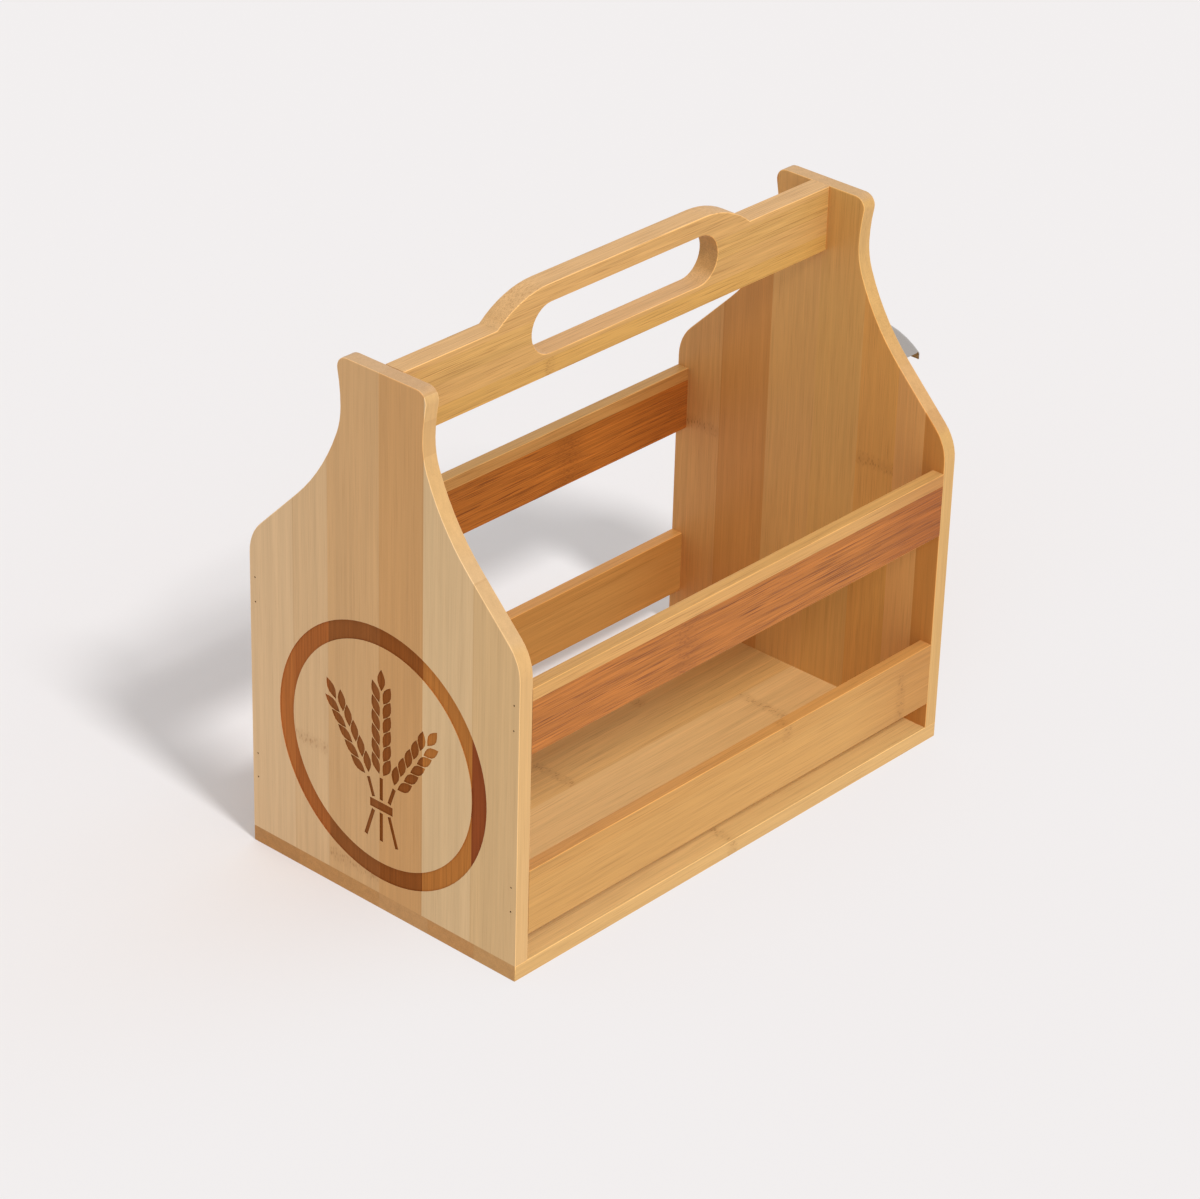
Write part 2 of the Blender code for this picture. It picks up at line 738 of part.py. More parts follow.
def catch():
    """Tongue with round corners that rises towards its tip."""
    half = CATCH_WIDTH / 2
    root = OPENER_BACK + OPENER_WALL / 2
    tip = OPENER_FRONT + CATCH_REACH
    near = arc((tip - CATCH_CORNER, half - CATCH_CORNER), CATCH_CORNER, math.pi / 2, 0)
    far = [(x, -y) for x, y in reversed(near)]
    outline = [(root, half)] + near + far + [(root, -half)]
    mesh = extruded(outline, "Z", CATCH_BOTTOM, CATCH_BOTTOM + CATCH_THICKNESS)
    for vert in mesh.verts:
        vert.co.z += CATCH_LIFT * (vert.co.x - root) / (tip - root)
    return mesh


def bottle_opener():
    plate = extruded(plate_outline(), "X", OPENER_BACK, OPENER_FRONT)
    round_edges(
        plate, PLATE_EDGE, EDGE_STEPS,
        lambda edge: not runs_along(edge, "X") and middle(edge).x > OPENER_BACK,
    )
    outside = hood(0, OPENER_WALL / 2, OPENER_WALL, HOOD_LIP)
    inside = hood(OPENER_WALL, OPENER_WALL, 2 * OPENER_WALL, PLATE_BOTTOM - CUT_OVERRUN)
    data = carved("bottle_opener", plate, [
        ("UNION", outside),
        ("DIFFERENCE", inside),
        ("DIFFERENCE", cheek_notch()),
        ("UNION", catch()),
        ("DIFFERENCE", opener_screw_holes()),
    ])
    place("bottle_opener", smooth(data, satin_steel()))


# Fasteners

def nails():
    """Headless pins, set just below the end panels' outer faces."""
    profile = [
        (0, 0), (NAIL_RADIUS, 0), (NAIL_RADIUS, NAIL_LENGTH - NAIL_POINT), (0, NAIL_LENGTH),
    ]
    data = smooth(as_data("nail", turned(profile, PIN_SIDES)), pin_steel())
    for name, along, y, z in nail_places():
        place(name, data, (along * (PANEL_OUTSIDE - HEAD_SET), y, z), (-along, 0, 0))


def dowels():
    """Chamfered pegs that carry the handle board."""
    length = DOWEL_IN_PANEL + JOINT_GAP + DOWEL_IN_HANDLE
    slim = DOWEL_RADIUS - DOWEL_CHAMFER
    profile = [
        (0, 0), (slim, 0), (DOWEL_RADIUS, DOWEL_CHAMFER),
        (DOWEL_RADIUS, length - DOWEL_CHAMFER), (slim, length), (0, length),
    ]
    data = smooth(as_data("dowel", turned(profile, PIN_SIDES)), beech())
    for end, along in ENDS.items():
        for number, height in enumerate(dowel_heights(), 1):
            spot = (along * (PANEL_INSIDE + DOWEL_IN_PANEL), 0, height)
            place("handle_dowel_%s_%d" % (end, number), data, spot, (-along, 0, 0))


def cross_recess(radius, crown):
    """Cross-shaped cutter for a screw head of a radius, with its crown at a height."""
    reach = radius * RECESS_REACH_SHARE
    half = radius * RECESS_WIDTH_SHARE / 2
    outline = []
    for quarter in range(4):
        arm = [(-half, half), (-half, reach), (half, reach)]
        outline += leaned(arm, (0, 0), quarter * math.pi / 2)
    return extruded(outline, "Z", crown - CUT_OVERRUN, crown + radius * RECESS_DEPTH_SHARE)


def base_screws():
    """Countersunk screws, heads just inside the underside."""
    shank = BASE_SCREW_LENGTH - BASE_SCREW_POINT
    profile = [
        (0, 0), (BASE_SCREW_HEAD_RADIUS, 0), (BASE_SCREW_RADIUS, BASE_SCREW_HEAD),
        (BASE_SCREW_RADIUS, shank), (0, BASE_SCREW_LENGTH),
    ]
    recess = cross_recess(BASE_SCREW_HEAD_RADIUS, 0)
    data = carved("base_screw", turned(profile, SCREW_SIDES), cuts(recess))
    smooth(data, satin_steel())
    for name, spot in base_screw_places():
        place(name, data, spot + Vector((0, 0, HEAD_SET)))


def opener_screws():
    """Dome-headed screws through the opener's tab."""
    length = OPENER_WALL + 2 * JOINT_GAP + OPENER_SCREW_DEPTH
    dome = [
        (OPENER_SCREW_HEAD_RADIUS * u, OPENER_SCREW_HEAD * v)
        for u, v in arc((0, 0), 1, -math.pi / 2, 0, GRIP_STEPS)
    ]
    profile = [(0, -OPENER_SCREW_HEAD)] + dome[1:] + [
        (OPENER_SCREW_RADIUS, 0), (OPENER_SCREW_RADIUS, length - OPENER_SCREW_POINT),
        (0, length),
    ]
    recess = cross_recess(OPENER_SCREW_HEAD_RADIUS, -OPENER_SCREW_HEAD)
    data = carved("opener_screw", turned(profile, SCREW_SIDES), cuts(recess))
    smooth(data, satin_steel())
    for number, y in enumerate(opener_screw_sides(), 1):
        spot = (OPENER_FRONT + JOINT_GAP, y, OPENER_SCREW_HEIGHT)
        place("opener_screw_%d" % number, data, spot, (-1, 0, 0))


# Assembly

for old in list(bpy.data.objects):
    bpy.data.objects.remove(old, do_unlink=True)

base_board()
end_panel("left", nail_holes(), dowel_holes(), base_screw_holes(), burnt_mark())
end_panel("right", nail_holes(), dowel_holes(), base_screw_holes(), opener_screw_holes())
slats()
handle_board()
bottle_opener()
nails()
dowels()
base_screws()
opener_screws()
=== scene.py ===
import math

import bmesh
import bpy
from mathutils import Euler, Matrix, Vector


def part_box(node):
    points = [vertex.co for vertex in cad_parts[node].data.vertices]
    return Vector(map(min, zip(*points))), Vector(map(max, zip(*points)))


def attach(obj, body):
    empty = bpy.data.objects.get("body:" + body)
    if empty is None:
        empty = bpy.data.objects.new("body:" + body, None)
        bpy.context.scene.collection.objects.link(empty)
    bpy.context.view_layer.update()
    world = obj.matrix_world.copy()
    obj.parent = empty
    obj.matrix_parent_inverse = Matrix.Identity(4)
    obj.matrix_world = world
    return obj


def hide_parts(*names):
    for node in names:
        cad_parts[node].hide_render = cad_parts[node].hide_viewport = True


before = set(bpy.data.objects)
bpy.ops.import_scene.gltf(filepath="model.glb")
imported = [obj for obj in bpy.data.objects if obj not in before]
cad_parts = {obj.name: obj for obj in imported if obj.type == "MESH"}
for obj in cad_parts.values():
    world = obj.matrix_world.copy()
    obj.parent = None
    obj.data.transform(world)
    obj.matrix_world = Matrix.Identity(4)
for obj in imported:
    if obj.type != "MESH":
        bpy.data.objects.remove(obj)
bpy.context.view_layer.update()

# Base board
# A 7 mm board of pressed bamboo: culm strips some 25 mm wide, glued edge to edge,
# planed, sanded and lacquered satin. The end panels stand on it and are screwed to it.

MM = 0.001

# Sockets of a Mix node for colours: the two that it mixes, and the result
MIX_FIRST = 6
MIX_SECOND = 7
MIX_RESULT = 2


def linear(code):
    """Linear colour of an sRGB hex code."""
    shares = [int(code[i:i + 2], 16) / 255 for i in (1, 3, 5)]
    curve = [s / 12.92 if s <= 0.04045 else ((s + 0.055) / 1.055) ** 2.4 for s in shares]
    return (*curve, 1)


def add(tree, kind, inputs=None, **settings):
    """A node with its settings and its inputs, each a value or another node's output."""
    node = tree.nodes.new(kind)
    for name, value in settings.items():
        setattr(node, name, value)
    for key, value in (inputs or {}).items():
        if isinstance(value, bpy.types.NodeSocket):
            tree.links.new(value, node.inputs[key])
        else:
            node.inputs[key].default_value = value
    return node


def bare_surface(name):
    """A new material, its node tree and its shader."""
    surface = bpy.data.materials.new(name)
    surface.use_nodes = True
    return surface, surface.node_tree, surface.node_tree.nodes["Principled BSDF"]


# Sizes in the bamboo. Its fibres and pores are some 0.2 mm wide, too fine to show in
# a view of the whole crate, and are drawn at 0.42 and 0.3 mm.
FIBRE_WIDTH = 0.42 * MM
FIBRE_LENGTH = 34 * MM
SHADE_WIDTH = 2.8 * MM
SHADE_LENGTH = 120 * MM
PORE_WIDTH = 0.3 * MM
PORE_LENGTH = 24 * MM
BUNDLE_SIZE = 0.75 * MM
KNUCKLE_REACH = 4.5 * MM
KNUCKLE_WAVE = 1.4 * MM
KNUCKLE_WAVE_LENGTH = 5 * MM
KNUCKLE_DASH_WIDTH = 0.9 * MM
KNUCKLE_DASH_LENGTH = 2.25 * MM
GLUE_WIDTH = 0.2 * MM
# The painted shade towards one end of a board reaches this much of its length
FAR_SHADE_REACH = 60 * MM
OFF_BOARD = 300 * MM
SURFACE_RELIEF = 0.05 * MM

# How far each pattern lightens or darkens the wood, between two levels of its noise
MOST_STREAKS = 3
FIBRE_SWING = {"From Min": 0.3, "From Max": 0.7, "To Min": -0.09, "To Max": 0.08}
SHADE_SWING = {"From Min": 0.3, "From Max": 0.7, "To Min": -1, "To Max": 1}
SHADE_LEAST = 0.045
SHADE_BY_STREAKS = 0.03
PALE_FIBRE = {"From Min": 0.38, "From Max": 0.22, "To Max": 0.3}
PALE_GAIN = 1.3
DARK_PORE = {"From Min": 0.57, "From Max": 0.68, "To Max": 0.36}
KNUCKLE_DARK = {"From Min": 0.45, "From Max": 0.2, "To Min": 0.14, "To Max": 0.55}
BUNDLE_DARK = {"From Min": 0.5, "From Max": 0.15, "To Max": 0.25}
GLUE_DARK = 0.15

# Sides, cut ends, the painted arris highlight and lacquer
FACING = {"From Min": 0.5, "From Max": 0.9}
SIDES_COVER = 1
ENDS_COVER = 0.6
# How much the painted arris highlight lightens the wood at its brightest
ARRIS_HIGHLIGHT_GAIN = 0.42
SATIN_LACQUER = {"From Min": 0.3, "From Max": 0.7, "To Min": 0.5, "To Max": 0.4}
LACQUER_SHEEN = 0.22


def glued_strips(tree, position, edges, span, strips):
    """Colour, streakiness and glue lines of the strips at a position across them.

    edges and span are the board's limits across and along the grain. The colour's
    alpha says where in the span the strip's knuckle is.
    """
    width = edges[1] - edges[0]
    share = add(tree, "ShaderNodeMapRange", {
        "Value": position, "From Min": edges[0], "From Max": edges[1],
    }).outputs["Result"]
    tone = add(tree, "ShaderNodeValToRGB", {"Fac": share})
    force = add(tree, "ShaderNodeValToRGB", {"Fac": share})
    joints = add(tree, "ShaderNodeValToRGB", {"Fac": share})
    for ramp in (tone, force, joints):
        ramp.color_ramp.interpolation = "CONSTANT"
    lines = joints.color_ramp.elements
    lines[0].color = lines[1].color = (0, 0, 0, 1)
    half = GLUE_WIDTH / width / 2
    for i, (edge, colour, knuckle, streaks) in enumerate(strips):
        where = max(0, (edge - edges[0]) / width)
        knuckle_share = (knuckle - span[0]) / (span[1] - span[0])
        shown = streaks / MOST_STREAKS
        for ramp, value in (
            (tone, (*linear(colour)[:3], knuckle_share)),
            (force, (shown, shown, shown, 1)),
        ):
            stops = ramp.color_ramp.elements
            stop = stops.new(where) if i > 1 else stops[i]
            stop.position = where
            stop.color = value
        for spot, shade in ((where - half, 1), (where + half, 0)) if i else []:
            lines.new(spot).color = (shade, shade, shade, 1)
    streakiness = add(tree, "ShaderNodeMath", {0: force.outputs["Color"], 1: MOST_STREAKS},
                      operation="MULTIPLY").outputs[0]
    glue = add(tree, "ShaderNodeMath", {0: joints.outputs["Color"], 1: GLUE_DARK},
               operation="MULTIPLY").outputs[0]
    return tone.outputs, streakiness, glue


def grain_noise(tree, laid):
    """Noise for fibres, broad shading and pores, all drawn out along the grain."""
    noise = {}
    for pattern, width, length, detail in (
        ("fibres", FIBRE_WIDTH, FIBRE_LENGTH, 3),
        ("shading", SHADE_WIDTH, SHADE_LENGTH, 2),
        ("pores", PORE_WIDTH, PORE_LENGTH, 1),
    ):
        stretched = add(tree, "ShaderNodeMapping", {
            "Vector": laid, "Scale": (1 / width, 1 / width, 1 / length),
        })
        noise[pattern] = add(tree, "ShaderNodeTexNoise", {
            "Vector": stretched.outputs["Vector"], "Scale": 1, "Detail": detail,
            "Roughness": 0.6,
        }).outputs["Fac"]
    return noise


def grain_light_and_highlight(tree, noise, streakiness, out_of_face):
    """How light the wood is: fibres, broad shading, and a painted highlight along the arrises.

    out_of_face is the normal's share along the board's thickness. It is 1 or -1 on the
    two faces and 0 on the edges, and an arris lies between.
    """
    fibre_swing = add(tree, "ShaderNodeMapRange", {
        "Value": noise["fibres"], **FIBRE_SWING,
    }).outputs["Result"]
    fibres = add(tree, "ShaderNodeMath", {0: fibre_swing, 1: streakiness, 2: 1},
                 operation="MULTIPLY_ADD").outputs[0]
    shade_swing = add(tree, "ShaderNodeMapRange", {
        "Value": noise["shading"], **SHADE_SWING,
    }).outputs["Result"]
    shade_depth = add(tree, "ShaderNodeMath", {
        0: streakiness, 1: SHADE_BY_STREAKS, 2: SHADE_LEAST,
    }, operation="MULTIPLY_ADD").outputs[0]
    shading = add(tree, "ShaderNodeMath", {0: shade_swing, 1: shade_depth, 2: 1},
                  operation="MULTIPLY_ADD").outputs[0]
    # A painted highlight along every arris, strongest where the normal is halfway between face
    # and edge
    flat = add(tree, "ShaderNodeMath", {0: out_of_face, 1: out_of_face},
               operation="MULTIPLY").outputs[0]
    turned = add(tree, "ShaderNodeMath", {0: 1, 1: flat}, operation="SUBTRACT").outputs[0]
    arris = add(tree, "ShaderNodeMath", {0: flat, 1: turned}, operation="MULTIPLY").outputs[0]
    arris_highlight = add(tree, "ShaderNodeMath", {0: arris, 1: 4 * ARRIS_HIGHLIGHT_GAIN, 2: 1},
                 operation="MULTIPLY_ADD").outputs[0]
    light = add(tree, "ShaderNodeMath", {0: fibres, 1: shading}, operation="MULTIPLY").outputs[0]
    return add(tree, "ShaderNodeMath", {0: light, 1: arris_highlight}, operation="MULTIPLY").outputs[0]


def knuckle_dashes(tree, laid, along, middle, knot):
    """A wavy band of short dashes across the strip, round its knuckle's middle."""
    wave = add(tree, "ShaderNodeTexNoise", {
        "Vector": laid, "Scale": 1 / KNUCKLE_WAVE_LENGTH, "Detail": 2,
    }).outputs["Fac"]
    swing = add(tree, "ShaderNodeMapRange", {
        "Value": wave, "To Min": -KNUCKLE_WAVE, "To Max": KNUCKLE_WAVE,
    }).outputs["Result"]
    centre = add(tree, "ShaderNodeMath", {0: middle, 1: swing}, operation="ADD").outputs[0]
    away = add(tree, "ShaderNodeMath", {0: along, 1: centre}, operation="SUBTRACT").outputs[0]
    distance = add(tree, "ShaderNodeMath", {0: away}, operation="ABSOLUTE").outputs[0]
    band = add(tree, "ShaderNodeMapRange", {
        "Value": distance, "From Min": KNUCKLE_REACH * knot, "From Max": 0,
    }, interpolation_type="SMOOTHSTEP").outputs["Result"]
    spread = add(tree, "ShaderNodeMapping", {
        "Vector": laid,
        "Scale": (1 / KNUCKLE_DASH_WIDTH, 1 / KNUCKLE_DASH_WIDTH, 1 / KNUCKLE_DASH_LENGTH),
    }).outputs["Vector"]
    cells = add(tree, "ShaderNodeTexVoronoi", {"Vector": spread, "Scale": 1}).outputs["Distance"]
    dashes = add(tree, "ShaderNodeMapRange", {"Value": cells, **KNUCKLE_DARK}).outputs["Result"]
    return add(tree, "ShaderNodeMath", {0: band, 1: dashes}, operation="MULTIPLY").outputs[0]


def pressed_bamboo(name, node, grain, across, strips, dark, sides, ends, knot=1, far_shade="#FFFFFF"):
    """Bamboo strips glued side by side, for the board that a node stands for.

    strips lists each strip's lower edge across the board, its colour, where its
    knuckle is along the grain, which can be off the board, and how strongly its fibres
    show. sides and ends colour the faces that look across and along the grain. It
    gives straight fibres in slightly different browns, fine dark pores, dotted
    knuckles, speckled end grain and a painted highlight along the arrises. knot says
    how long the knuckles are, and far darkens the strips towards the end that the
    grain's axis points to: painted shade, where the light falls off.
    """
    surface, tree, shader = bare_surface(name)
    low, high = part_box(node)
    a, g = "XYZ".index(across), "XYZ".index(grain)
    through = "XYZ"[3 - a - g]
    place = add(tree, "ShaderNodeTexCoord").outputs
    parts = add(tree, "ShaderNodeSeparateXYZ", {"Vector": place["Object"]}).outputs
    facing = add(tree, "ShaderNodeSeparateXYZ", {"Vector": place["Normal"]}).outputs
    along = parts[grain]
    laid = add(tree, "ShaderNodeCombineXYZ", {
        "X": parts[across], "Y": parts[through], "Z": along,
    }).outputs["Vector"]
    tone, streakiness, glue = glued_strips(
        tree, parts[across], (low[a], high[a]), (low[g], high[g]), strips,
    )
    noise = grain_noise(tree, laid)
    light = grain_light_and_highlight(tree, noise, streakiness, facing[through])

    # The strips' own colour, with painted shade towards one end, then the sides and the cut
    # ends, each with its tint
    far_shaded = add(tree, "ShaderNodeMapRange", {
        "Value": along, "From Min": high[g] - FAR_SHADE_REACH, "From Max": high[g],
    }, interpolation_type="SMOOTHSTEP").outputs["Result"]
    wood = add(tree, "ShaderNodeMix", {
        "Factor": far_shaded, MIX_FIRST: tone["Color"], MIX_SECOND: linear(far_shade),
    }, data_type="RGBA", blend_type="MULTIPLY").outputs[MIX_RESULT]
    for axis, tint, cover in ((across, sides, SIDES_COVER), (grain, ends, ENDS_COVER)):
        towards = add(tree, "ShaderNodeMath", {0: facing[axis]}, operation="ABSOLUTE")
        looks = add(tree, "ShaderNodeMapRange", {
            "Value": towards.outputs[0], "To Max": cover, **FACING,
        }, interpolation_type="SMOOTHSTEP").outputs["Result"]
        wood = add(tree, "ShaderNodeMix", {
            "Factor": looks, MIX_FIRST: wood, MIX_SECOND: linear(tint),
        }, data_type="RGBA").outputs[MIX_RESULT]
    end_on = looks

    # Fibres, shading and the painted arris highlight darken and lighten it, and some fibres are
    # paler still
    wood = add(tree, "ShaderNodeVectorMath", {0: wood, "Scale": light},
               operation="SCALE").outputs["Vector"]
    paler = add(tree, "ShaderNodeVectorMath", {0: wood, "Scale": PALE_GAIN},
                operation="SCALE").outputs["Vector"]
    pale = add(tree, "ShaderNodeMapRange", {
        "Value": noise["pores"], **PALE_FIBRE,
    }).outputs["Result"]
    pale = add(tree, "ShaderNodeMath", {0: pale, 1: streakiness},
               operation="MULTIPLY").outputs[0]
    wood = add(tree, "ShaderNodeMix", {
        "Factor": pale, MIX_FIRST: wood, MIX_SECOND: paler,
    }, data_type="RGBA").outputs[MIX_RESULT]

    # Everything dark: pores, knuckles, glue lines, and fibre bundles on the cut ends
    pores = add(tree, "ShaderNodeMapRange", {
        "Value": noise["pores"], **DARK_PORE,
    }).outputs["Result"]
    pores = add(tree, "ShaderNodeMath", {0: pores, 1: streakiness},
                operation="MULTIPLY").outputs[0]
    middle = add(tree, "ShaderNodeMapRange", {
        "Value": tone["Alpha"], "To Min": low[g], "To Max": high[g],
    }, clamp=False).outputs["Result"]
    knuckles = knuckle_dashes(tree, laid, along, middle, knot)
    cells = add(tree, "ShaderNodeTexVoronoi", {
        "Vector": laid, "Scale": 1 / BUNDLE_SIZE,
    }).outputs["Distance"]
    bundles = add(tree, "ShaderNodeMapRange", {"Value": cells, **BUNDLE_DARK}).outputs["Result"]
    bundles = add(tree, "ShaderNodeMath", {0: bundles, 1: end_on},
                  operation="MULTIPLY").outputs[0]
    spots = pores
    for mask in (knuckles, glue, bundles):
        spots = add(tree, "ShaderNodeMath", {0: spots, 1: mask}, operation="MAXIMUM").outputs[0]
    colour = add(tree, "ShaderNodeMix", {
        "Factor": spots, MIX_FIRST: wood, MIX_SECOND: linear(dark),
    }, data_type="RGBA").outputs[MIX_RESULT]
    tree.links.new(colour, shader.inputs["Base Color"])

    gloss = add(tree, "ShaderNodeMapRange", {
        "Value": noise["fibres"], **SATIN_LACQUER,
    }).outputs["Result"]
    tree.links.new(gloss, shader.inputs["Roughness"])
    relief = add(tree, "ShaderNodeMath", {0: noise["fibres"], 1: spots},
                 operation="SUBTRACT").outputs[0]
    bump = add(tree, "ShaderNodeBump", {
        "Height": relief, "Strength": 0.5, "Distance": SURFACE_RELIEF,
    })
    tree.links.new(bump.outputs["Normal"], shader.inputs["Normal"])
    shader.inputs["Specular IOR Level"].default_value = LACQUER_SHEEN
    return surface


WELD = 0.01 * MM
SHARP = math.radians(48)
NEAR = 0.05 * MM
JOINT_GAP = 0.3 * MM

# A pin's hole lies within this of its axis, and closes by this share of its radius
PIN_HOLE = 0.9 * MM
PIN_GRIP = 0.22
pins = [sum(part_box(pin), Vector()) / 2 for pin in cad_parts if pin.startswith("nail_")]


def dressed(name, node, surface, closed=""):
    """Merged and smoothly shaded copy of a node, which stands for it.

    closed names the axis along which the copy's end faces, or for Z its foot, move
    out to close a joint. The holes for the pins close onto the wire too.
    """
    mesh = bmesh.new()
    mesh.from_mesh(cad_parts[node].data)
    bmesh.ops.remove_doubles(mesh, verts=mesh.verts, dist=WELD)
    low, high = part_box(node)
    for vert in mesh.verts if closed else []:
        if closed == "X" and min(vert.co.x - low.x, high.x - vert.co.x) < NEAR:
            vert.co.x += math.copysign(JOINT_GAP, vert.co.x)
        if closed == "Z" and vert.co.z - low.z < NEAR:
            vert.co.z -= JOINT_GAP
        for pin in pins:
            aside = Vector((0, vert.co.y - pin.y, vert.co.z - pin.z))
            if aside.length < PIN_HOLE:
                vert.co -= aside * PIN_GRIP
    mesh.normal_update()
    for face in mesh.faces:
        face.smooth = True
    for edge in mesh.edges:
        edge.smooth = edge.calc_face_angle(math.pi) < SHARP
    data = bpy.data.meshes.new(name)
    mesh.to_mesh(data)
    mesh.free()
    data.materials.clear()
    data.materials.append(surface)
    piece = bpy.data.objects.new(name, data)
    bpy.context.scene.collection.objects.link(piece)
    even = piece.modifiers.new("flat_faces", "WEIGHTED_NORMAL")
    even.keep_sharp = True
    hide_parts(node)
    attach(piece, "root")
    return piece


base_strips = [
    (-73 * MM, "#E2B877", -2 * MM, 0.7),
    (-51 * MM, "#DCAA68", -70 * MM, 0.8),
    (-26 * MM, "#E0B578", 88 * MM, 0.6),
    (1 * MM, "#DAAB69", -16 * MM, 0.9),
    (24 * MM, "#D9A866", 52 * MM, 0.6),
    (46 * MM, "#C99A5C", -101 * MM, 0.8),
]
base_bamboo = pressed_bamboo(
    "golden_bamboo_base", "base_board", "X", "Y", base_strips,
    dark="#8A5828", sides="#D8AB6B", ends="#AB7039",
)
dressed("base_bamboo", "base_board", base_bamboo)

# Left end panel
# A 7 mm panel of straw-coloured pressed bamboo with upright strips, routed to rounded
# shoulders and a long neck. Its mark is burnt about 0.4 mm deep: a ring round a sheaf
# of barley.

left_strips = [
    (-73 * MM, "#D8B27E", OFF_BOARD, 0.35),
    (-49 * MM, "#DBB888", OFF_BOARD, 0.3),
    (-22.3 * MM, "#CD9A60", OFF_BOARD, 0.35),
    (1 * MM, "#D2A570", 14 * MM, 0.4),
    (29 * MM, "#D9B282", 61 * MM, 0.35),
    (48 * MM, "#DCB789", OFF_BOARD, 0.3),
]
left_bamboo = pressed_bamboo(
    "pale_bamboo_left", "left_end_panel", "Z", "Y", left_strips,
    dark="#96622F", sides="#DAAE73", ends="#CFAB83",
)

PANEL_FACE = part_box("left_end_panel")[0].x
BURNT_RADIUS = 57.5 * MM
BURNT_MIDDLE = 70.5 * MM
BURNT_SKIN = 0.05 * MM
BURNT_DEEPEST = 0.6 * MM
CHAR_SWING = {"From Min": 0.3, "From Max": 0.7, "To Min": 0.8, "To Max": 1.2}
CHAR_SHEEN = 0.02
burnt_tones = ["#904924", "#B77436", "#8D4F20", "#91562A", "#A8612F", "#B46B35"]


def burn(surface, node, strips, tones):
    """Chars a bamboo surface inside the mark's sunk shapes.

    Each strip takes its own brown. Char is dull and streaked along the fibres.
    """
    tree = surface.node_tree
    shader = tree.nodes["Principled BSDF"]
    low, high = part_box(node)
    place = add(tree, "ShaderNodeTexCoord").outputs["Object"]
    parts = add(tree, "ShaderNodeSeparateXYZ", {"Vector": place}).outputs
    share = add(tree, "ShaderNodeMapRange", {
        "Value": parts["Y"], "From Min": low.y, "From Max": high.y,
    }).outputs["Result"]
    char = add(tree, "ShaderNodeValToRGB", {"Fac": share})
    char.color_ramp.interpolation = "CONSTANT"
    stops = char.color_ramp.elements
    for i, (strip, colour) in enumerate(zip(strips, tones)):
        where = max(0, (strip[0] - low.y) / (high.y - low.y))
        stop = stops.new(where) if i > 1 else stops[i]
        stop.position = where
        stop.color = linear(colour)
    streaked = add(tree, "ShaderNodeMapping", {
        "Vector": place, "Scale": (1 / FIBRE_WIDTH, 1 / FIBRE_WIDTH, 1 / FIBRE_LENGTH),
    }).outputs["Vector"]
    streaks = add(tree, "ShaderNodeTexNoise", {
        "Vector": streaked, "Scale": 1, "Detail": 3, "Roughness": 0.6,
    }).outputs["Fac"]
    uneven = add(tree, "ShaderNodeMapRange", {"Value": streaks, **CHAR_SWING}).outputs["Result"]
    charred = add(tree, "ShaderNodeVectorMath", {
        0: char.outputs["Color"], "Scale": uneven,
    }, operation="SCALE").outputs["Vector"]

    # Inside the mark's circle, and sunk below the panel's face but not through it
    reach = add(tree, "ShaderNodeVectorMath", {
        0: place, 1: (PANEL_FACE, 0, BURNT_MIDDLE),
    }, operation="DISTANCE").outputs["Value"]
    inside = add(tree, "ShaderNodeMath", {0: reach, 1: BURNT_RADIUS},
                 operation="LESS_THAN").outputs[0]
    sunk = add(tree, "ShaderNodeMath", {0: parts["X"], 1: PANEL_FACE + BURNT_SKIN},
               operation="GREATER_THAN").outputs[0]
    shallow = add(tree, "ShaderNodeMath", {0: parts["X"], 1: PANEL_FACE + BURNT_DEEPEST},
                  operation="LESS_THAN").outputs[0]
    mask = add(tree, "ShaderNodeMath", {0: sunk, 1: shallow}, operation="MULTIPLY").outputs[0]
    mask = add(tree, "ShaderNodeMath", {0: mask, 1: inside}, operation="MULTIPLY").outputs[0]
    bare = shader.inputs["Base Color"].links[0].from_socket
    both = add(tree, "ShaderNodeMix", {
        "Factor": mask, MIX_FIRST: bare, MIX_SECOND: charred,
    }, data_type="RGBA").outputs[MIX_RESULT]
    tree.links.new(both, shader.inputs["Base Color"])
    sheen = add(tree, "ShaderNodeMapRange", {
        "Value": mask, "To Min": LACQUER_SHEEN, "To Max": CHAR_SHEEN,
    })
    tree.links.new(sheen.outputs["Result"], shader.inputs["Specular IOR Level"])


burn(left_bamboo, "left_end_panel", left_strips, burnt_tones)
dressed("left_end_bamboo", "left_end_panel", left_bamboo, closed="Z")

# Right end panel
# The same panel, unmarked, with the bottle opener on its outer face. Its strips are a
# browner batch, with a knuckle high on the near side.

right_strips = [
    (-73 * MM, "#C68641", OFF_BOARD, 0.5),
    (-62 * MM, "#DBA260", OFF_BOARD, 0.5),
    (-47 * MM, "#D89E54", 120 * MM, 0.7),
    (-27 * MM, "#D6A45E", 62 * MM, 0.6),
    (-3 * MM, "#D7A461", OFF_BOARD, 0.6),
    (22 * MM, "#CC904D", 24 * MM, 0.5),
    (48 * MM, "#D39C5C", 104 * MM, 0.7),
]
right_bamboo = pressed_bamboo(
    "pale_bamboo_right", "right_end_panel", "Z", "Y", right_strips,
    dark="#8A5628", sides="#D3A666", ends="#CFAB83",
)
dressed("right_end_bamboo", "right_end_panel", right_bamboo, closed="Z")

# Lower slats
# Two 6 mm rails of golden pressed bamboo, planed, eased along the edges, and pinned
# between the end panels just above the base board. Painted shade darkens and warms
# them towards one end, where the light falls off.

